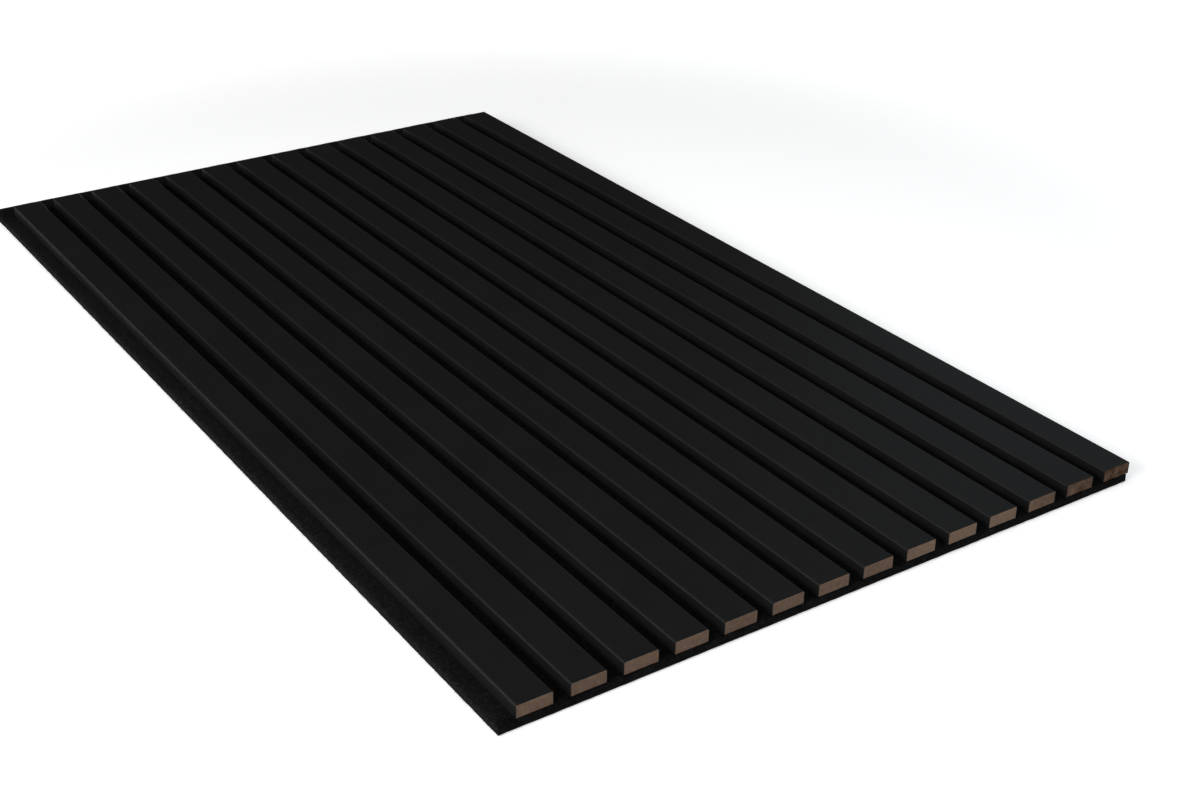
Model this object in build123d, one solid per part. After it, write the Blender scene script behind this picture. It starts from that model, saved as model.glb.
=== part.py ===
from build123d import *

import os

# Slatted acoustic wall panel, lying on its back with the slats up.
# MDF slats wrapped in black foil are glued and stapled to a felt backing.
# X runs across the slats, Y along them, and Z is the thickness.
# The origin is the centre of the felt's back face, which goes against the wall.
# All sizes are in millimetres.

# The slats and the grooves between them
slat_count = 14
slat_width = 27.0
slat_height = 10.0
slat_gap = 13.0
slat_edge_radius = 1.2

# The felt runs on past the slats at the far end
slat_length = 960.0
felt_tail = 27.0
felt_thickness = 7.0

# The last slat laps this far over the felt of the next panel
edge_lap = 2.0
# The felt is cut this much narrower than its slats' pitches, so that panels butt with ease
joint_play = 1.5

# The foil covers a slat's face and long sides and turns under its back
foil_thickness = 0.25
foil_return = 3.0

# Flat-wire staples, driven through the felt from behind
staples_per_slat = 5
staple_end_distance = 40.0
staple_crown = 10.6
staple_wire_width = 1.2
staple_wire_thickness = 0.6
staple_point = 0.8
staple_bite = 6.0
staple_sink = 0.4

pitch = slat_width + slat_gap
felt_width = slat_count * pitch - joint_play
felt_length = slat_length + felt_tail
first_slat_margin = slat_gap + edge_lap - joint_play
slats_middle = (slat_length - felt_length) / 2
core_back = felt_thickness + foil_thickness


def slat_centre(index):
    """X of a slat's centre line, counted from 0 at the left."""
    return first_slat_margin + slat_width / 2 + index * pitch - felt_width / 2


def slat_section(inset):
    """Section of a slat, shrunk by the inset, with the long edges of its face rounded."""
    section = Rectangle(slat_width - 2 * inset, slat_height - 2 * inset)
    face_corners = section.vertices().group_by(Axis.Y)[-1]
    return fillet(face_corners, slat_edge_radius - inset)


def along_panel(section):
    """A slat section standing on the felt and drawn out over the slats' length."""
    origin = (0, slats_middle, felt_thickness + slat_height / 2)
    middle = Plane(origin, x_dir=(1, 0, 0), z_dir=(0, -1, 0))
    return extrude(middle * section, slat_length / 2, both=True)


def slat_core():
    """The MDF inside the foil."""
    return along_panel(slat_section(foil_thickness))


def slat_foil():
    """The foil round a core, open at the back between its two returns."""
    wrap = slat_section(0) - slat_section(foil_thickness)
    back_opening = Pos(0, -slat_height / 2) * Rectangle(slat_width - 2 * foil_return, 2 * foil_thickness)
    return along_panel(wrap - back_opening)


def staple():
    """One staple with its legs up, its crown sunk a little into the felt's back."""
    crown_outside = staple_sink
    crown_inside = crown_outside + staple_wire_thickness
    tip = core_back + staple_bite
    outer = staple_crown / 2
    inner = outer - staple_wire_thickness
    outline = Polyline(
        (-outer, crown_outside),
        (-outer, tip),
        (-inner, tip - staple_point),
        (-inner, crown_inside),
        (inner, crown_inside),
        (inner, tip - staple_point),
        (outer, tip),
        (outer, crown_outside),
        close=True,
    )
    return extrude(Plane.XZ * make_face(outline), staple_wire_width / 2, both=True)


def staple_recess():
    """The dent that a crown leaves in the felt's back."""
    return Box(staple_crown, staple_wire_width, 2 * staple_sink)


def staple_rows(index):
    """Places of the staples along one slat."""
    run = slat_length - 2 * staple_end_distance
    step = run / (staples_per_slat - 1)
    first = slats_middle - run / 2
    return [Pos(slat_centre(index), first + row * step, 0) for row in range(staples_per_slat)]


def felt_backing(staples, recesses):
    """The felt, pierced by every staple."""
    slab = Box(felt_width, felt_length, felt_thickness, align=(Align.CENTER, Align.CENTER, Align.MIN))
    return slab - staples - recesses


def save(shape, node):
    """Write one node's file."""
    export_step(shape, os.path.join("parts", node + ".step"))


os.makedirs("parts", exist_ok=True)

all_staples = []
all_recesses = []
for index in range(slat_count):
    number = f"{index + 1:02d}"
    centre = Pos(slat_centre(index), 0, 0)
    staples = [place * staple() for place in staple_rows(index)]
    save(centre * slat_core() - staples, "slat_core_" + number)
    save(centre * slat_foil(), "slat_foil_" + number)
    all_staples += staples
    all_recesses += [place * staple_recess() for place in staple_rows(index)]

save(Compound(children=all_staples), "staples")
save(felt_backing(all_staples, all_recesses), "felt_backing")
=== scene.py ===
import math

import bmesh
import bpy
from mathutils import Matrix, Vector


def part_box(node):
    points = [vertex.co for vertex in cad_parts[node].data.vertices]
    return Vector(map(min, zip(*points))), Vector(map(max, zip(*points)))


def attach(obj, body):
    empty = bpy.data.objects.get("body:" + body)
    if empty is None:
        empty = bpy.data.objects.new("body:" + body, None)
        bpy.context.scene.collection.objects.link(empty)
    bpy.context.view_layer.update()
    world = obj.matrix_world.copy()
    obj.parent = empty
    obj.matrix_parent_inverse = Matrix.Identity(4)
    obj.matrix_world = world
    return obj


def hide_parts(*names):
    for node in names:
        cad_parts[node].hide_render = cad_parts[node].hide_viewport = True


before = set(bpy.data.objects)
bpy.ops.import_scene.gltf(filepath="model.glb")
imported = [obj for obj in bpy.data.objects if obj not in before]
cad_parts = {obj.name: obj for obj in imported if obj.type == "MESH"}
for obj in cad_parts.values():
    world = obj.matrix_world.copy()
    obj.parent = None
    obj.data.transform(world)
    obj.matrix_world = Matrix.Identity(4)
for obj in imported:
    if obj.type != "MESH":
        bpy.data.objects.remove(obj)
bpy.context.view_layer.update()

# Slat cores
# Each slat is a strip of medium-density fibreboard, ripped from a sheet and cut to length with a fine saw.
# Only the two sawn ends show: brown, close-grained, with the saw's marks and a denser skin at each face.

core_nodes = sorted(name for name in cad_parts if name.startswith("slat_core_"))
core_low, core_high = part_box(core_nodes[0])
slat_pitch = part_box(core_nodes[1])[0].x - core_low.x
slat_count = len(core_nodes)

board_dark = (0.086, 0.054, 0.036)
board_mid = (0.196, 0.127, 0.088)
board_light = (0.352, 0.240, 0.170)
board_fibre_spot = 0.0005
clump_spot = 0.0035
saw_mark_spot = 0.0005
saw_mark_stretch = (1, 1, 14)
skin_depth = 0.0012
skin_tone = 0.08
slat_tone_spread = 0.10
slat_number_start = core_low.x - 0.003
paler_from, paler_to = 0.030, 0.075
paler_tone = 0.26
stained_from, stained_to = 0.150, 0.255
stain_base = 0.92
stain_spot = 0.009
stain_contrast = 2.6
stain_brown = (0.072, 0.032, 0.011)
board_roughness = 0.8


def add(tree, kind, inputs=None, **settings):
    """A new node, with its settings made and its inputs set, or linked where the value is a socket."""
    made = tree.nodes.new(kind)
    for key, value in settings.items():
        setattr(made, key, value)
    for key, value in (inputs or {}).items():
        if isinstance(value, bpy.types.NodeSocket):
            tree.links.new(value, made.inputs[key])
        else:
            made.inputs[key].default_value = value
    return made


def sums(tree, operation, *terms):
    """The terms put through one maths operation, each with the result so far."""
    result = terms[0]
    for term in terms[1:]:
        result = add(tree, "ShaderNodeMath", {0: result, 1: term}, operation=operation).outputs[0]
    return result


def socket(group, name, kind, way="INPUT", value=None):
    """A named input or output of a node group."""
    made = group.interface.new_socket(name, in_out=way, socket_type=kind)
    if value is not None:
        made.default_value = value
    return made


def mottle_group():
    """Uneven tone: an amount either side of nought, in spots of a given size that can be drawn out."""
    group = bpy.data.node_groups.new("mottle", "ShaderNodeTree")
    socket(group, "Position", "NodeSocketVector")
    socket(group, "Stretch", "NodeSocketVector", value=(1, 1, 1))
    socket(group, "Spot Size", "NodeSocketFloat", value=0.001)
    socket(group, "Detail", "NodeSocketFloat", value=2)
    socket(group, "Contrast", "NodeSocketFloat", value=1)
    socket(group, "Amount", "NodeSocketFloat", "OUTPUT")
    given = group.nodes.new("NodeGroupInput").outputs
    drawn = add(
        group,
        "ShaderNodeVectorMath",
        {0: given["Position"], 1: given["Stretch"]},
        operation="DIVIDE",
    ).outputs[0]
    scale = sums(group, "DIVIDE", 1.0, given["Spot Size"])
    noise = add(
        group,
        "ShaderNodeTexNoise",
        {"Vector": drawn, "Scale": scale, "Detail": given["Detail"], "Roughness": 0.6},
    )
    centred = sums(group, "SUBTRACT", noise.outputs[0], 0.5)
    amount = sums(group, "MULTIPLY", centred, given["Contrast"])
    add(group, "NodeGroupOutput", {"Amount": amount})
    return group


mottle = mottle_group()


def spots(tree, position, size, contrast, detail=2, stretch=(1, 1, 1)):
    """The mottle group placed in a material with its own values."""
    inputs = {
        "Position": position,
        "Stretch": stretch,
        "Spot Size": size,
        "Detail": detail,
        "Contrast": contrast,
    }
    return add(tree, "ShaderNodeGroup", inputs, node_tree=mottle).outputs[0]


def ramp(tree, factor, *stops):
    """A colour ramp through the stops, each a place and a colour."""
    made = add(tree, "ShaderNodeValToRGB", {"Fac": factor})
    elements = made.color_ramp.elements
    while len(elements) < len(stops):
        elements.new(0.5)
    for element, (place, colour) in zip(elements, stops):
        element.position = place
        element.color = (*colour, 1)
    return made.outputs["Color"]


def between(tree, value, start, end, amount):
    """Nought up to the start, rising evenly to the amount at the end, and level past it."""
    inputs = {"Value": value, "From Min": start, "From Max": end, "To Min": 0.0, "To Max": amount}
    return add(tree, "ShaderNodeMapRange", inputs).outputs[0]


def material(name):
    """A new material, its node tree, and the surface's shader."""
    made = bpy.data.materials.new(name)
    made.use_nodes = True
    shader = made.node_tree.nodes["Principled BSDF"]
    return made, made.node_tree, shader


def board_material():
    made, tree, shader = material("sawn_board")
    position = add(tree, "ShaderNodeTexCoord").outputs["Object"]
    axes = add(tree, "ShaderNodeSeparateXYZ", {0: position}).outputs
    fibres = spots(tree, position, board_fibre_spot, 1.2, detail=4)
    clumps = spots(tree, position, clump_spot, 0.6)
    saw_marks = spots(tree, position, saw_mark_spot, 0.35, stretch=saw_mark_stretch)
    middle = (core_low.z + core_high.z) / 2
    half = (core_high.z - core_low.z) / 2
    from_middle = sums(tree, "ABSOLUTE", sums(tree, "SUBTRACT", axes["Z"], middle), 0)
    skin = between(tree, from_middle, half - skin_depth, half, skin_tone)
    from_start = sums(tree, "SUBTRACT", axes["X"], slat_number_start)
    slat_number = sums(tree, "FLOOR", sums(tree, "DIVIDE", from_start, slat_pitch), 0)
    chance = add(tree, "ShaderNodeTexWhiteNoise", {"W": slat_number}, noise_dimensions="1D").outputs["Value"]
    own_tone = sums(tree, "MULTIPLY", sums(tree, "SUBTRACT", chance, 0.5), slat_tone_spread)
    paler = between(tree, axes["X"], paler_from, paler_to, paler_tone)
    tone = sums(tree, "ADD", 0.5, fibres, clumps, saw_marks, skin, own_tone, paler)
    brown = ramp(tree, tone, (0.0, board_dark), (0.5, board_mid), (1.0, board_light))
    stain = between(tree, axes["X"], stained_from, stained_to, 1.0)
    blotch = sums(tree, "ADD", stain_base, spots(tree, position, stain_spot, stain_contrast, detail=4))
    stain_here = sums(tree, "MULTIPLY", stain, blotch)
    stained = add(
        tree,
        "ShaderNodeMix",
        {0: stain_here, 6: brown, 7: (*stain_brown, 1)},
        data_type="RGBA",
        clamp_factor=True,
    ).outputs[2]
    tree.links.new(stained, shader.inputs["Base Color"])
    rough = sums(tree, "ADD", board_roughness, fibres)
    tree.links.new(rough, shader.inputs["Roughness"])
    shader.inputs["Specular IOR Level"].default_value = 0.2
    height = sums(tree, "ADD", fibres, saw_marks)
    bump = add(tree, "ShaderNodeBump", {"Height": height, "Strength": 0.8, "Distance": 0.0003})
    tree.links.new(bump.outputs[0], shader.inputs["Normal"])
    return made


sawn_board = board_material()
for name in core_nodes:
    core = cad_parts[name]
    core.data.materials.clear()
    core.data.materials.append(sawn_board)

# Slat foils
# A black decorative foil is glued round each core: over the face, down both sides and a little way under.
# It is satin with a fine pore, a touch paler where it bends (partly stretched foil, partly a painted
# highlight), and the saw leaves its cut ends slightly torn.

foil_nodes = [name.replace("core", "foil") for name in core_nodes]
foil_low, foil_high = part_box(foil_nodes[0])
foil_thickness = core_low.x - foil_low.x
foil_return = 0.003
foil_edge_radius = 0.0012
foil_arc_steps = 6
foil_face_step = 0.0008
foil_end_step = 0.0008
foil_tear = 0.00012

foil_black = (0.0074, 0.0074, 0.0075)
foil_cloud = (0.0106, 0.0106, 0.0107)
# Colour on the bends: partly paler stretched foil, partly a painted highlight along the slats' edges.
foil_bend_wear_and_highlight = (0.0160, 0.0160, 0.0162)
foil_cloud_spot = 0.05
foil_pore_spot = 0.00025
foil_grain_spot = 0.0012
foil_roughness = 0.42
foil_tear_scale = 900.0


def arc(centre, radius, start, end, steps):
    """Points on an arc between two angles, in degrees."""
    angles = [math.radians(start + (end - start) * step / steps) for step in range(steps + 1)]
    return [(centre[0] + radius * math.cos(a), centre[1] + radius * math.sin(a)) for a in angles]


def stepped(start, end, step):
    """Points from start to just before end, about a step apart."""
    count = max(1, round(math.dist(start, end) / step))
    return [tuple(s + (e - s) * n / count for s, e in zip(start, end)) for n in range(count)]


def foil_line(inset):
    """The foil's path round a slat, from one return's edge to the other's, and where each point bends."""
    half = (foil_high.x - foil_low.x) / 2 - inset
    low, high = foil_low.z + inset, foil_high.z - inset
    radius = foil_edge_radius - inset
    lip = (foil_high.x - foil_low.x) / 2 - foil_return
    left = arc((-half + radius, high - radius), radius, 180, 90, foil_arc_steps)
    right = arc((half - radius, high - radius), radius, 90, 0, foil_arc_steps)
    runs = [
        (stepped((-lip, low), (-half, low), foil_face_step), 0),
        (stepped((-half, low), left[0], foil_face_step), 0),
        (left, 1),
        (stepped(left[-1], right[0], foil_face_step)[1:], 0),
        (right, 1),
        (stepped(right[-1], (half, low), foil_face_step)[1:], 0),
        (stepped((half, low), (lip, low), foil_face_step) + [(lip, low)], 0),
    ]
    return [(point, bend) for points, bend in runs for point in points]


def loop_mesh(name, loop, stations, marks):
    """A closed outline carried along Y through the stations, capped at both ends."""
    shape = bmesh.new()
    layers = {key: shape.verts.layers.float.new(key) for key in marks}
    rings = []
    for station in stations:
        ring = []
        for (x, z), values in loop:
            vert = shape.verts.new((x, station, z))
            for key in marks:
                vert[layers[key]] = marks[key](values, station)
            ring.append(vert)
        rings.append(ring)
    count = len(loop)
    for near, far in zip(rings, rings[1:]):
        for index in range(count):
            following = (index + 1) % count
            shape.faces.new((near[index], near[following], far[following], far[index]))
    half = count // 2
    for ring in (rings[0], rings[-1]):
        for index in range(half - 1):
            shape.faces.new((ring[index], ring[index + 1], ring[count - 2 - index], ring[count - 1 - index]))
    bmesh.ops.recalc_face_normals(shape, faces=shape.faces)
    soften(shape, 30)
    mesh = bpy.data.meshes.new(name)
    shape.to_mesh(mesh)
    shape.free()
    return mesh


def soften(shape, degrees):
    """Smooth shading, with the edges sharper than this left crisp."""
    for face in shape.faces:
        face.smooth = True
    for edge in shape.edges:
        edge.smooth = len(edge.link_faces) == 2 and edge.calc_face_angle(0) < math.radians(degrees)


def one_foil():
    """The foil of one slat, centred on X."""
    inside = foil_line(foil_thickness)
    outside = even(foil_line(0), len(inside))
    loop = outside + inside[::-1]
    near, far = foil_low.y, foil_high.y
    stations = [near, near + foil_end_step, near + 3 * foil_end_step]
    stations += [far - 3 * foil_end_step, far - foil_end_step, far]
    marks = {
        "bend": lambda bend, station: float(bend),
        "sawn": lambda bend, station: float(station in (near, far)),
    }
    return loop_mesh("foil", loop, stations, marks)


def even(line, count):
    """A path thinned to a given number of points, its ends kept."""
    return [line[round(index * (len(line) - 1) / (count - 1))] for index in range(count)]


def geometry_tree(name, *inputs):
    """A Geometry Nodes tree with the given inputs, and its input sockets."""
    tree = bpy.data.node_groups.new(name, "GeometryNodeTree")
    socket(tree, "Geometry", "NodeSocketGeometry")
    for label, kind, value in inputs:
        socket(tree, label, "NodeSocket" + kind, value=value)
    socket(tree, "Geometry", "NodeSocketGeometry", "OUTPUT")
    return tree, tree.nodes.new("NodeGroupInput").outputs


def finish_tree(tree, geometry, finish):
    """The tree's end: real geometry in place of instances, with its material on."""
    real = add(tree, "GeometryNodeRealizeInstances", {0: geometry}).outputs[0]
    coated = add(tree, "GeometryNodeSetMaterial", {"Geometry": real, "Material": finish}).outputs[0]
    add(tree, "NodeGroupOutput", {0: coated})


def grown(name, mesh, tree, **values):
    """A new object: the mesh put through the tree, with the result kept as a plain mesh."""
    mesh.materials.append(values["material"])
    piece = bpy.data.objects.new(name, mesh)
    bpy.context.scene.collection.objects.link(piece)
    modifier = piece.modifiers.new(tree.name, "NODES")
    modifier.node_group = tree
    for item in tree.interface.items_tree:
        key = item.name.replace(" ", "_").lower()
        if item.in_out == "INPUT" and key in values:
            modifier[item.identifier] = values[key]
    evaluated = piece.evaluated_get(bpy.context.evaluated_depsgraph_get())
    result = bpy.data.meshes.new_from_object(evaluated)
    piece.modifiers.remove(modifier)
    piece.data = result
    result.name = name
    result.materials.clear()
    result.materials.append(values["material"])
    result.polygons.foreach_set("material_index", [0] * len(result.polygons))
    return piece


def slat_row_tree():
    """Like pieces side by side, one to a slat, with their marked ends torn a little."""
    tree, given = geometry_tree(
        "slat_row",
        ("Count", "Int", 1),
        ("First Centre", "Float", 0.0),
        ("Pitch", "Float", 0.04),
        ("Tear", "Float", 0.0),
        ("Material", "Material", None),
    )
    start = add(tree, "ShaderNodeCombineXYZ", {0: given["First Centre"]}).outputs[0]
    step = add(tree, "ShaderNodeCombineXYZ", {0: given["Pitch"]}).outputs[0]
    line = add(
        tree,
        "GeometryNodeMeshLine",
        {"Count": given["Count"], "Start Location": start, "Offset": step},
    ).outputs[0]
    row = add(
        tree,
        "GeometryNodeInstanceOnPoints",
        {"Points": line, "Instance": given["Geometry"]},
    ).outputs[0]
    real = add(tree, "GeometryNodeRealizeInstances", {0: row}).outputs[0]
    sawn = add(tree, "GeometryNodeInputNamedAttribute", {"Name": "sawn"}, data_type="FLOAT").outputs[0]
    noise = add(tree, "ShaderNodeTexNoise", {"Scale": foil_tear_scale, "Detail": 2.0}).outputs[0]
    torn = sums(tree, "MULTIPLY", sums(tree, "SUBTRACT", noise, 0.5), given["Tear"], sawn)
    offset = add(tree, "ShaderNodeCombineXYZ", {1: torn}).outputs[0]
    moved = add(tree, "GeometryNodeSetPosition", {"Geometry": real, "Offset": offset}).outputs[0]
    finish_tree(tree, moved, given["Material"])
    return tree


def foil_material():
    made, tree, shader = material("black_satin_foil")
    position = add(tree, "ShaderNodeTexCoord").outputs["Object"]
    bend = add(tree, "ShaderNodeAttribute", attribute_name="bend").outputs["Fac"]
    clouds = spots(tree, position, foil_cloud_spot, 1.4, detail=3)
    pores = spots(tree, position, foil_pore_spot, 1.0, stretch=(1, 12, 1))
    grain = spots(tree, position, foil_grain_spot, 0.8, detail=3, stretch=(1, 6, 1))
    tone = sums(tree, "ADD", 0.5, clouds, grain)
    black = ramp(tree, tone, (0.0, foil_black), (1.0, foil_cloud))
    # Both bends get the paler colour: partly the foil's stretching, partly a painted highlight along the
    # edges.
    bend_wear_and_highlight = sums(tree, "MULTIPLY", bend, sums(tree, "ADD", 0.55, grain))
    colour = add(
        tree,
        "ShaderNodeMix",
        {0: bend_wear_and_highlight, 6: black, 7: (*foil_bend_wear_and_highlight, 1)},
        data_type="RGBA",
    ).outputs[2]
    tree.links.new(colour, shader.inputs["Base Color"])
    from_pores = sums(tree, "MULTIPLY", pores, 0.15)
    from_clouds = sums(tree, "MULTIPLY", clouds, 0.05)
    rough = sums(tree, "ADD", foil_roughness, from_pores, from_clouds)
    tree.links.new(rough, shader.inputs["Roughness"])
    shader.inputs["Specular IOR Level"].default_value = 0.13
    height = sums(tree, "ADD", pores, grain)
    bump = add(tree, "ShaderNodeBump", {"Height": height, "Strength": 0.5, "Distance": 0.00007})
    tree.links.new(bump.outputs[0], shader.inputs["Normal"])
    return made


slat_row = slat_row_tree()
black_foil = foil_material()
foils = grown(
    "slat_foils",
    one_foil(),
    slat_row,
    count=slat_count,
    first_centre=(foil_low.x + foil_high.x) / 2,
    pitch=slat_pitch,
    tear=foil_tear,
    material=black_foil,
)
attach(foils, "root")
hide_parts(*foil_nodes)

# Staples
# Flat-wire staples of galvanised steel are shot from behind, through the felt into each core.
# Their crowns pull a little way into the felt's back, and the wire turns round a small bend into each leg.

staple_low, staple_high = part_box("staples")
staple_crown = 0.0106
staple_wire_width = 0.0012
staple_wire_thickness = 0.0006
staple_bend = 0.0009
staple_bend_steps = 5
staple_end_distance = 0.040
staples_per_slat = 5
staple_point = 0.0008
staple_cut_room = 0.00001
staple_cut_past = 0.001

zinc_dull = (0.34, 0.345, 0.35)
zinc_bright = (0.58, 0.585, 0.59)
zinc_roughness = 0.42
zinc_drawn_spot = 0.00012
zinc_bloom_spot = 0.0015


def one_staple():
    """A staple with its legs up, drawn round its outside and back along its inside."""
    outer = staple_crown / 2
    inner = outer - staple_wire_thickness
    low, tip = staple_low.z, staple_high.z
    inside_low = low + staple_wire_thickness
    inside_bend = staple_bend - staple_wire_thickness
    outside = [(-outer, tip)]
    outside += arc((-outer + staple_bend, low + staple_bend), staple_bend, 180, 270, staple_bend_steps)
    outside += arc((outer - staple_bend, low + staple_bend), staple_bend, 270, 360, staple_bend_steps)
    outside += [(outer, tip)]
    inside = [(-inner, tip - staple_point)]
    inside += arc((-inner + inside_bend, inside_low + inside_bend), inside_bend, 180, 270, staple_bend_steps)
    inside += arc((inner - inside_bend, inside_low + inside_bend), inside_bend, 270, 360, staple_bend_steps)
    inside += [(inner, tip - staple_point)]
    loop = [(point, 0) for point in outside + inside[::-1]]
    half = staple_wire_width / 2
    return loop_mesh("staple", loop, (-half, half), {})


def staple_grid_tree():
    """Like pieces in rows and columns, one column to a slat."""
    tree, given = geometry_tree(
        "staple_grid",
        ("Columns", "Int", 1),
        ("Rows", "Int", 1),
        ("Width", "Float", 0.5),
        ("Run", "Float", 0.9),
        ("Middle", "Vector", (0, 0, 0)),
        ("Material", "Material", None),
    )
    grid = add(
        tree,
        "GeometryNodeMeshGrid",
        {
            "Size X": given["Width"],
            "Size Y": given["Run"],
            "Vertices X": given["Columns"],
            "Vertices Y": given["Rows"],
        },
    ).outputs[0]
    middled = add(
        tree,
        "GeometryNodeTransform",
        {"Geometry": grid, "Translation": given["Middle"]},
    ).outputs[0]
    rows = add(
        tree,
        "GeometryNodeInstanceOnPoints",
        {"Points": middled, "Instance": given["Geometry"]},
    ).outputs[0]
    finish_tree(tree, rows, given["Material"])
    return tree


def zinc_material():
    made, tree, shader = material("galvanised_wire")
    position = add(tree, "ShaderNodeTexCoord").outputs["Object"]
    drawn = spots(tree, position, zinc_drawn_spot, 1.0, detail=3, stretch=(20, 1, 20))
    bloom = spots(tree, position, zinc_bloom_spot, 1.0)
    colour = ramp(tree, sums(tree, "ADD", 0.5, drawn, bloom), (0.0, zinc_dull), (1.0, zinc_bright))
    tree.links.new(colour, shader.inputs["Base Color"])
    rough = sums(tree, "ADD", zinc_roughness, sums(tree, "MULTIPLY", bloom, 0.3))
    tree.links.new(rough, shader.inputs["Roughness"])
    shader.inputs["Metallic"].default_value = 1
    bump = add(tree, "ShaderNodeBump", {"Height": drawn, "Strength": 0.4, "Distance": 0.00003})
    tree.links.new(bump.outputs[0], shader.inputs["Normal"])
    return made


staple_grid = staple_grid_tree()
slats_middle = (foil_low.y + foil_high.y) / 2
staple_run = foil_high.y - foil_low.y - 2 * staple_end_distance
staple_places = {
    "columns": slat_count,
    "rows": staples_per_slat,
    "width": slat_pitch * (slat_count - 1),
    "run": staple_run,
    "middle": ((staple_low.x + staple_high.x) / 2, slats_middle, 0),
}
staples = grown("slat_staples", one_staple(), staple_grid, material=zinc_material(), **staple_places)
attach(staples, "root")
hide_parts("staples")

# Felt backing
# One sheet of black needled polyester felt, which the slats are glued and stapled to.
# It is knife-cut to size, a little uneven between the slats, and lapped by the last one;
# from the slats' far ends on, its colour is painted darker as painted shade.

felt_low, felt_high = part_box("felt_backing")
felt_cell_across = 0.0026
felt_cell_along = 0.0062
felt_swell = 0.00030
felt_cut_wander = 0.00045
felt_edge_round = 0.00040
felt_proud_left = 0.0010
felt_proud_right = 0.0003
felt_cells_through = 3
felt_lump_spot = 0.012
felt_dish_spot = 0.020
felt_cut_spot = 0.007
felt_same_place = 1e-5

# Painted shade: how much darker the felt is painted from the slats' far ends on, and the run it darkens over.
felt_tail_painted_shade = -0.45
felt_tail_shade_fade = 0.012
felt_strand_scale = 700.0
felt_strand_edge = 0.07
felt_tuft_spot = 0.0036
felt_cloud_spot = 0.03
felt_pit = (0.0022, 0.0022, 0.0024)
felt_black = (0.0070, 0.0070, 0.0074)
felt_lint = (0.0240, 0.0240, 0.0250)


def staple_cutter():
    """What one staple takes out of the felt: the dent under its crown and the two leg holes."""
    room, past = staple_cut_room, staple_cut_past
    outer = staple_crown / 2 + room
    inner = outer - staple_wire_thickness - 2 * room
    under = felt_low.z - past
    crown_top = staple_low.z + staple_wire_thickness + room
    over = felt_high.z + past
    outline = [(-outer, over), (-outer, under), (outer, under), (outer, over)]
    outline += [(inner, over), (inner, crown_top), (-inner, crown_top), (-inner, over)]
    half = staple_wire_width / 2 + room
    return loop_mesh("staple_cutter", [(point, 0) for point in outline], (-half, half), {})


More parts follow.
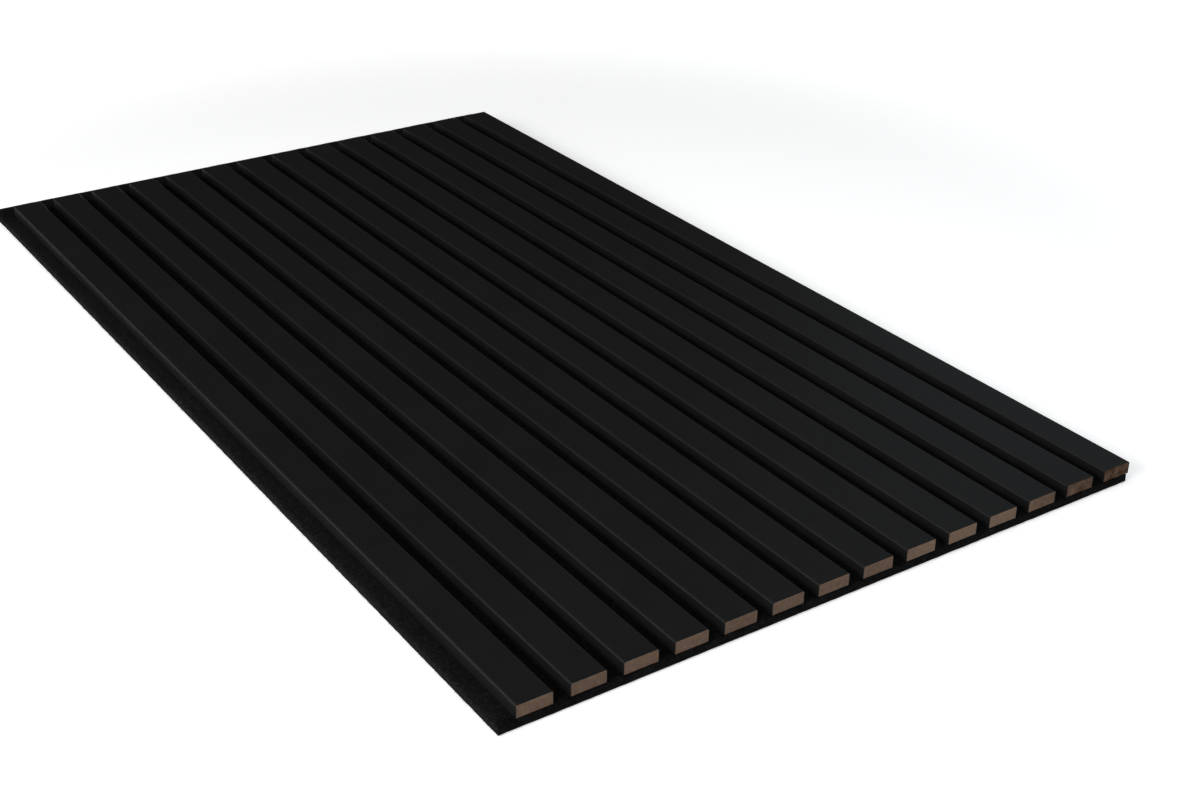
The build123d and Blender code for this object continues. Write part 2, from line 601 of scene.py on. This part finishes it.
def felt_tree():
    """A slab of felt whose faces swell between the slats and whose cut edges wander."""
    tree, given = geometry_tree(
        "felt_slab",
        ("Low", "Vector", (0, 0, 0)),
        ("High", "Vector", (1, 1, 0.01)),
        ("Cells Across", "Int", 10),
        ("Cells Along", "Int", 10),
        ("Cells Through", "Int", 3),
        ("Swell", "Float", 0.0003),
        ("Wander", "Float", 0.0003),
        ("Edge Round", "Float", 0.0003),
        ("Proud Left", "Float", 0.0),
        ("Proud Right", "Float", 0.0),
        ("First Slat", "Float", 0.0),
        ("Slat Width", "Float", 0.027),
        ("Pitch", "Float", 0.04),
        ("Slats End", "Float", 0.4),
        ("Cutters", "Object", None),
        ("Material", "Material", None),
    )

    def vector(operation, first, second):
        return add(tree, "ShaderNodeVectorMath", {0: first, 1: second}, operation=operation).outputs[0]

    def each(point):
        return add(tree, "ShaderNodeSeparateXYZ", {0: point}).outputs

    size = vector("SUBTRACT", given["High"], given["Low"])
    middle = vector("MULTIPLY", vector("ADD", given["High"], given["Low"]), (0.5, 0.5, 0.5))
    cube = add(
        tree,
        "GeometryNodeMeshCube",
        {
            "Size": size,
            "Vertices X": sums(tree, "ADD", given["Cells Across"], 1),
            "Vertices Y": sums(tree, "ADD", given["Cells Along"], 1),
            "Vertices Z": sums(tree, "ADD", given["Cells Through"], 1),
        },
    ).outputs[0]
    slab = add(tree, "GeometryNodeTransform", {"Geometry": cube, "Translation": middle}).outputs[0]
    position = add(tree, "GeometryNodeInputPosition").outputs[0]
    place, low, high = each(position), each(given["Low"]), each(given["High"])

    def at(value, target):
        inputs = {0: value, 1: target, 2: felt_same_place}
        return add(tree, "ShaderNodeMath", inputs, operation="COMPARE").outputs[0]

    left, right = at(place["X"], low["X"]), at(place["X"], high["X"])
    near, far = at(place["Y"], low["Y"]), at(place["Y"], high["Y"])
    back, top = at(place["Z"], low["Z"]), at(place["Z"], high["Z"])
    rim = sums(tree, "MAXIMUM", left, right, near, far)

    def waves(spot, shift):
        moved = vector("ADD", position, (shift, shift, shift))
        inputs = {"Vector": moved, "Scale": 1 / spot, "Detail": 3.0}
        noise = add(tree, "ShaderNodeTexNoise", inputs).outputs[0]
        return sums(tree, "MULTIPLY", sums(tree, "SUBTRACT", noise, 0.5), 2.0)

    from_slat = sums(tree, "MODULO", sums(tree, "SUBTRACT", place["X"], given["First Slat"]), given["Pitch"])
    past_first = sums(tree, "GREATER_THAN", place["X"], given["First Slat"])
    in_slat = sums(tree, "LESS_THAN", from_slat, given["Slat Width"])
    along_slat = sums(tree, "LESS_THAN", place["Y"], given["Slats End"])
    under_slat = sums(tree, "MULTIPLY", past_first, in_slat, along_slat)
    open_top = sums(tree, "MULTIPLY", top, sums(tree, "SUBTRACT", 1.0, under_slat))
    lump = sums(tree, "ADD", 0.35, waves(felt_lump_spot, 3.1))
    rise = sums(tree, "MULTIPLY", open_top, given["Swell"], lump)
    rounding = sums(tree, "MULTIPLY", rim, given["Edge Round"], sums(tree, "SUBTRACT", back, top))
    hollow = sums(tree, "ADD", 0.5, waves(felt_dish_spot, 7.7))
    dish = sums(tree, "MULTIPLY", back, given["Swell"], hollow, 0.5)
    sideways = sums(tree, "SUBTRACT", right, left)
    endways = sums(tree, "SUBTRACT", far, near)
    out_x = sums(tree, "MULTIPLY", sideways, waves(felt_cut_spot, 1.3), given["Wander"])
    out_y = sums(tree, "MULTIPLY", endways, waves(felt_cut_spot, 5.9), given["Wander"])
    share = sums(tree, "DIVIDE", sums(tree, "SUBTRACT", place["X"], low["X"]), each(size)["X"])
    lean = sums(tree, "MULTIPLY", share, sums(tree, "SUBTRACT", given["Proud Right"], given["Proud Left"]))
    proud = sums(tree, "MULTIPLY", near, sums(tree, "ADD", given["Proud Left"], lean))
    out_y = sums(tree, "SUBTRACT", out_y, proud)
    out_z = sums(tree, "ADD", rise, rounding, dish)
    offset = add(tree, "ShaderNodeCombineXYZ", {0: out_x, 1: out_y, 2: out_z}).outputs[0]
    uneven = add(tree, "GeometryNodeSetPosition", {"Geometry": slab, "Offset": offset}).outputs[0]
    cutters = add(tree, "GeometryNodeObjectInfo", {"Object": given["Cutters"]}).outputs["Geometry"]
    cut = add(
        tree,
        "GeometryNodeMeshBoolean",
        {"Mesh 1": uneven, "Mesh 2": cutters},
        operation="DIFFERENCE",
        solver="EXACT",
    ).outputs[0]
    smooth = add(tree, "GeometryNodeSetShadeSmooth", {"Geometry": cut}).outputs[0]
    finish_tree(tree, smooth, given["Material"])
    return tree


def felt_material():
    made, tree, shader = material("needled_felt")
    position = add(tree, "ShaderNodeTexCoord").outputs["Object"]
    strands = add(
        tree,
        "ShaderNodeTexNoise",
        {
            "Vector": position,
            "Scale": felt_strand_scale,
            "Detail": 3.0,
            "Roughness": 0.55,
            "Distortion": 2.5,
        },
    ).outputs[0]
    off_strand = sums(tree, "ABSOLUTE", sums(tree, "SUBTRACT", strands, 0.5), 0)
    strand = add(
        tree,
        "ShaderNodeMapRange",
        {"Value": off_strand, "From Min": 0.0, "From Max": felt_strand_edge, "To Min": 0.5, "To Max": 0.0},
    ).outputs[0]
    tufts = spots(tree, position, felt_tuft_spot, 1.6, detail=4)
    clouds = spots(tree, position, felt_cloud_spot, 0.4)
    along = add(tree, "ShaderNodeSeparateXYZ", {0: position}).outputs["Y"]
    # Painted shade: the felt's colour darkens over the last stretch before the slats' far ends and stays dark
    # past them.
    tail_painted_shade = between(tree, along, foil_high.y - felt_tail_shade_fade, foil_high.y, felt_tail_painted_shade)
    tone = sums(tree, "ADD", 0.2, strand, tufts, clouds, tail_painted_shade)
    colour = ramp(tree, tone, (0.0, felt_pit), (0.45, felt_black), (1.0, felt_lint))
    tree.links.new(colour, shader.inputs["Base Color"])
    shader.inputs["Roughness"].default_value = 0.95
    shader.inputs["Specular IOR Level"].default_value = 0.05
    shader.inputs["Sheen Weight"].default_value = 0.012
    shader.inputs["Sheen Roughness"].default_value = 0.4
    height = sums(tree, "ADD", sums(tree, "MULTIPLY", strand, 0.5), tufts)
    bump = add(tree, "ShaderNodeBump", {"Height": height, "Strength": 0.8, "Distance": 0.0006})
    tree.links.new(bump.outputs[0], shader.inputs["Normal"])
    return made


needled_felt = felt_material()
cutters = grown("staple_cutters", staple_cutter(), staple_grid, material=needled_felt, **staple_places)
felt = grown(
    "felt_sheet",
    bpy.data.meshes.new("felt"),
    felt_tree(),
    low=tuple(felt_low),
    high=tuple(felt_high),
    cells_across=round((felt_high.x - felt_low.x) / felt_cell_across),
    cells_along=round((felt_high.y - felt_low.y) / felt_cell_along),
    cells_through=felt_cells_through,
    swell=felt_swell,
    wander=felt_cut_wander,
    edge_round=felt_edge_round,
    proud_left=felt_proud_left,
    proud_right=felt_proud_right,
    first_slat=foil_low.x,
    slat_width=foil_high.x - foil_low.x,
    pitch=slat_pitch,
    slats_end=foil_high.y,
    cutters=cutters,
    material=needled_felt,
)
bpy.data.objects.remove(cutters)
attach(felt, "root")
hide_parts("felt_backing")

# Felt fibres
# Loose ends and loops of the felt's polyester fibres stand out along its cut edges and lie on its face.
# They catch the light, so the sheet's outline looks soft.

fibre_length = 0.0032
fibre_width = 0.00008
fibre_sag = 0.0006
fibre_curl = 0.0005
fibre_rings = ((-0.34, -0.7, 0.6), (0.0, 0.0, 1.0), (0.32, 1.0, 0.7))
fibre_lift = 0.55
fibre_least_scale, fibre_most_scale = 0.4, 1.5
fibre_margin = 0.0085
fibre_tone_spot = 0.0012
fibre_grey = (0.005, 0.005, 0.0053)
fibre_pale = (0.110, 0.110, 0.113)


def one_fibre():
    """A short fibre along X that tapers to both ends. Each ring has its share of length, curl and sag."""
    shape = bmesh.new()
    start = shape.verts.new((-fibre_length / 2, 0, 0))
    end = shape.verts.new((fibre_length / 2, fibre_curl, 0))
    rings = []
    for share, curl, sag in fibre_rings:
        middle = Vector((share * fibre_length, curl * fibre_curl, sag * fibre_sag))
        turns = [Matrix.Rotation(math.radians(120 * turn), 3, "X") for turn in range(3)]
        rings.append([shape.verts.new(middle + turn @ Vector((0, 0, fibre_width / 2))) for turn in turns])
    for side in range(3):
        following = (side + 1) % 3
        shape.faces.new((start, rings[0][following], rings[0][side]))
        for near, far in zip(rings, rings[1:]):
            shape.faces.new((near[side], near[following], far[following], far[side]))
        shape.faces.new((end, rings[-1][side], rings[-1][following]))
    bmesh.ops.recalc_face_normals(shape, faces=shape.faces)
    soften(shape, 180)
    mesh = bpy.data.meshes.new("fibre")
    shape.to_mesh(mesh)
    shape.free()
    return mesh


def fibre_tree():
    """Fibres strewn over the patches, each turned and tilted by chance."""
    tree, given = geometry_tree(
        "strewn_fibres",
        ("Fibre", "Object", None),
        ("Density", "Float", 1000.0),
        ("Lift", "Float", 0.5),
        ("Seed", "Int", 1),
        ("Lowest", "Float", 0.0),
        ("Material", "Material", None),
    )
    strewn = add(
        tree,
        "GeometryNodeDistributePointsOnFaces",
        {"Mesh": given["Geometry"], "Density": given["Density"], "Seed": given["Seed"]},
    )
    down = sums(tree, "MULTIPLY", given["Lift"], -1.0)
    least = add(tree, "ShaderNodeCombineXYZ", {0: -math.pi, 1: down, 2: -math.pi}).outputs[0]
    most = add(tree, "ShaderNodeCombineXYZ", {0: math.pi, 1: given["Lift"], 2: math.pi}).outputs[0]
    chance = add(tree, "FunctionNodeRandomValue", data_type="FLOAT_VECTOR")
    tree.links.new(least, chance.inputs[0])
    tree.links.new(most, chance.inputs[1])
    tree.links.new(given["Seed"], chance.inputs["Seed"])
    turn = add(tree, "FunctionNodeEulerToRotation", {0: chance.outputs[0]}).outputs[0]
    turned = add(
        tree,
        "FunctionNodeRotateRotation",
        {"Rotation": strewn.outputs["Rotation"], "Rotate By": turn},
        rotation_space="LOCAL",
    ).outputs[0]
    size = add(tree, "FunctionNodeRandomValue", data_type="FLOAT")
    size.inputs[2].default_value = fibre_least_scale
    size.inputs[3].default_value = fibre_most_scale
    fibre = add(tree, "GeometryNodeObjectInfo", {"Object": given["Fibre"]}).outputs["Geometry"]
    strands = add(
        tree,
        "GeometryNodeInstanceOnPoints",
        {"Points": strewn.outputs[0], "Instance": fibre, "Rotation": turned, "Scale": size.outputs[1]},
    ).outputs[0]
    real = add(tree, "GeometryNodeRealizeInstances", {0: strands}).outputs[0]
    place = add(tree, "ShaderNodeSeparateXYZ", {0: add(tree, "GeometryNodeInputPosition").outputs[0]}).outputs
    height = sums(tree, "MAXIMUM", place["Z"], given["Lowest"])
    above = add(tree, "ShaderNodeCombineXYZ", {0: place["X"], 1: place["Y"], 2: height}).outputs[0]
    lifted = add(tree, "GeometryNodeSetPosition", {"Geometry": real, "Position": above}).outputs[0]
    finish_tree(tree, lifted, given["Material"])
    return tree


def patches(name, *boxes):
    """Flat patches of the felt's surface, each given by its low and high corner and the way it faces."""
    shape = bmesh.new()
    for low, high, facing in boxes:
        flat = next(axis for axis in range(3) if abs(facing[axis]) == 1)
        across, along = [axis for axis in range(3) if axis != flat]
        corners = []
        for a, b in ((low, low), (high, low), (high, high), (low, high)):
            corner = [0, 0, 0]
            corner[flat], corner[across], corner[along] = low[flat], a[across], b[along]
            corners.append(shape.verts.new(corner))
        face = shape.faces.new(corners)
        face.normal_update()
        if face.normal.dot(Vector(facing)) < 0:
            face.normal_flip()
    mesh = bpy.data.meshes.new(name)
    shape.to_mesh(mesh)
    shape.free()
    return mesh


def fibre_material():
    made, tree, shader = material("loose_fibre")
    position = add(tree, "ShaderNodeTexCoord").outputs["Object"]
    tone = sums(tree, "ADD", 0.5, spots(tree, position, fibre_tone_spot, 2.2))
    colour = ramp(tree, tone, (0.55, fibre_grey), (0.85, fibre_pale))
    tree.links.new(colour, shader.inputs["Base Color"])
    shader.inputs["Roughness"].default_value = 0.5
    shader.inputs["Specular IOR Level"].default_value = 0.12
    return made


fibre = bpy.data.objects.new("fibre", one_fibre())
bpy.context.scene.collection.objects.link(fibre)
strewn_fibres = fibre_tree()
loose_fibre = fibre_material()
low, high = felt_low, felt_high
top_z = felt_high.z
front_y = felt_low.y - felt_proud_right
left_slat, slat_width = foil_low.x, foil_high.x - foil_low.x
grooves = []
for n in range(slat_count - 1):
    slat_end = left_slat + slat_pitch * n + slat_width
    next_slat = left_slat + slat_pitch * (n + 1)
    grooves.append(((slat_end, low.y, top_z), (next_slat, foil_high.y, top_z), (0, 0, 1)))
far_margin = ((left_slat, foil_high.y, top_z), (high.x, high.y, top_z), (0, 0, 1))
fuzz_places = {
    "fuzz_margin": (0.62e6, [((low.x, low.y, top_z), (low.x + fibre_margin, high.y, top_z), (0, 0, 1))]),
    "fuzz_left": (1.3e6, [((low.x, low.y, low.z), (low.x, high.y, top_z), (-1, 0, 0))]),
    "fuzz_front": (0.4e6, [((low.x, front_y, low.z), (high.x, front_y, top_z), (0, -1, 0))]),
    "fuzz_right": (0.6e6, [((high.x, low.y, low.z), (high.x, high.y, top_z), (1, 0, 0))]),
    "fuzz_far": (0.5e6, [((low.x, high.y, low.z), (high.x, high.y, top_z), (0, 1, 0))]),
    "fuzz_grooves": (0.03e6, grooves + [far_margin]),
}
for seed, (name, (density, boxes)) in enumerate(fuzz_places.items()):
    piece = grown(
        name,
        patches(name, *boxes),
        strewn_fibres,
        fibre=fibre,
        density=density,
        lift=fibre_lift,
        seed=seed,
        lowest=felt_low.z,
        material=loose_fibre,
    )
    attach(piece, "root")
bpy.data.objects.remove(fibre)

# Studio
# The panel lies on its back on a plain white floor, in a dim room.
# Soft lamps at the left draw the slats' edges and sides; weaker ones light it from the right and above.

floor_reach = 60
floor_drop = 0.0004
floor_white = (0.90, 0.90, 0.90)
floor_glow = 0.50
far_floor_glow = 0.95
floor_near = 0.6
floor_far = 1.25
sky_strength = 0.06


def floor():
    mesh = bpy.data.meshes.new("floor")
    reach = floor_reach
    sides = ((-reach, -reach), (reach, -reach), (reach, reach), (-reach, reach))
    corners = [(x, y, -floor_drop) for x, y in sides]
    mesh.from_pydata(corners, [], [(0, 1, 2, 3)])
    made, tree, shader = material("studio_floor")
    shader.inputs["Base Color"].default_value = (*floor_white, 1)
    shader.inputs["Roughness"].default_value = 1
    shader.inputs["Specular IOR Level"].default_value = 0
    shader.inputs["Emission Color"].default_value = (1, 1, 1, 1)
    position = add(tree, "ShaderNodeTexCoord").outputs["Object"]
    away = add(tree, "ShaderNodeVectorMath", {0: position}, operation="LENGTH").outputs["Value"]
    glow = add(
        tree,
        "ShaderNodeMapRange",
        {0: away, 1: floor_near, 2: floor_far, 3: floor_glow, 4: far_floor_glow},
        interpolation_type="SMOOTHSTEP",
    ).outputs[0]
    tree.links.new(sums(tree, "MULTIPLY", seen_rays(tree), glow), shader.inputs["Emission Strength"])
    mesh.materials.append(made)
    piece = bpy.data.objects.new("floor", mesh)
    bpy.context.scene.collection.objects.link(piece)
    return piece


def seen_rays(tree):
    """1 for the rays that look at the background, straight or by way of metal or glass."""
    rays = add(tree, "ShaderNodeLightPath").outputs
    return sums(tree, "MAXIMUM", rays["Is Camera Ray"], rays["Is Glossy Ray"], rays["Is Transmission Ray"])


def sky():
    """An even, dim world, seen as a white backdrop. Gloss meets the dim one, which keeps the foil black."""
    world = bpy.data.worlds.new("studio")
    world.use_nodes = True
    tree = world.node_tree
    background = tree.nodes["Background"]
    background.inputs["Color"].default_value = (1, 1, 1, 1)
    rays = add(tree, "ShaderNodeLightPath").outputs
    seen = sums(tree, "MAXIMUM", rays["Is Camera Ray"], rays["Is Transmission Ray"], sky_strength)
    tree.links.new(seen, background.inputs["Strength"])
    bpy.context.scene.world = world


def lamp(name, place, target, size, power, colour=(1, 1, 1)):
    """A soft oblong lamp that faces the target, and that the camera doesn't see."""
    data = bpy.data.lights.new(name, "AREA")
    data.shape = "RECTANGLE"
    data.size, data.size_y = size
    data.energy = power
    data.color = colour
    made = bpy.data.objects.new(name, data)
    made.location = place
    made.rotation_euler = (Vector(target) - Vector(place)).to_track_quat("-Z", "Y").to_euler()
    made.visible_camera = False
    bpy.context.scene.collection.objects.link(made)


floor()
sky()
lamp("left", (-2.2, 0.5, 1.35), (0, 0, 0), (1.2, 0.8), 12.6)
lamp("left_back", (-2.4, 0.8, 0.85), (0, 0, 0), (1.4, 0.9), 14.5)
lamp("left_front", (-1.9, -0.9, 1.1), (0, -0.2, 0), (1.0, 0.8), 27.2)
lamp("right", (1.7, -0.7, 1.3), (0.1, -0.3, 0), (1.0, 1.0), 5.2, (0.92, 0.96, 1.0))
lamp("right_back", (1.9, 0.9, 1.0), (0.2, -0.3, 0), (1.0, 0.7), 1.05, (0.84, 0.92, 1.0))
lamp("overhead", (-0.1, -0.3, 1.1), (-0.1, -0.3, 0), (0.6, 0.6), 2.0)
lamp("overhead_right", (0.35, -0.5, 1.0), (0.3, -0.4, 0), (0.5, 0.5), 1.3, (0.92, 0.96, 1.0))

# Camera
# It stands at the panel's near left corner and looks down along the slats, as in the photograph.

camera_aim = Vector((-0.00208, -0.19306, 0.01700))
camera_distance = 1.4324
camera_azimuth = 34.2549
camera_elevation = 28.0296
camera_roll = 0.7053
camera_lens = 53.429


def camera():
    azimuth, elevation = math.radians(camera_azimuth), math.radians(camera_elevation)
    forward = Vector((
        math.sin(azimuth) * math.cos(elevation),
        math.cos(azimuth) * math.cos(elevation),
        -math.sin(elevation),
    ))
    made = bpy.data.objects.new("camera", bpy.data.cameras.new("camera"))
    made.data.lens = camera_lens
    made.data.sensor_width = 36
    made.data.clip_start = 0.01
    made.data.clip_end = 200
    level = forward.to_track_quat("-Z", "Y").to_matrix().to_4x4()
    roll = Matrix.Rotation(math.radians(camera_roll), 4, "Z")
    made.matrix_world = Matrix.Translation(camera_aim - camera_distance * forward) @ level @ roll
    bpy.context.scene.collection.objects.link(made)
    bpy.context.scene.camera = made


camera()
bpy.context.scene.view_settings.view_transform = "Standard"
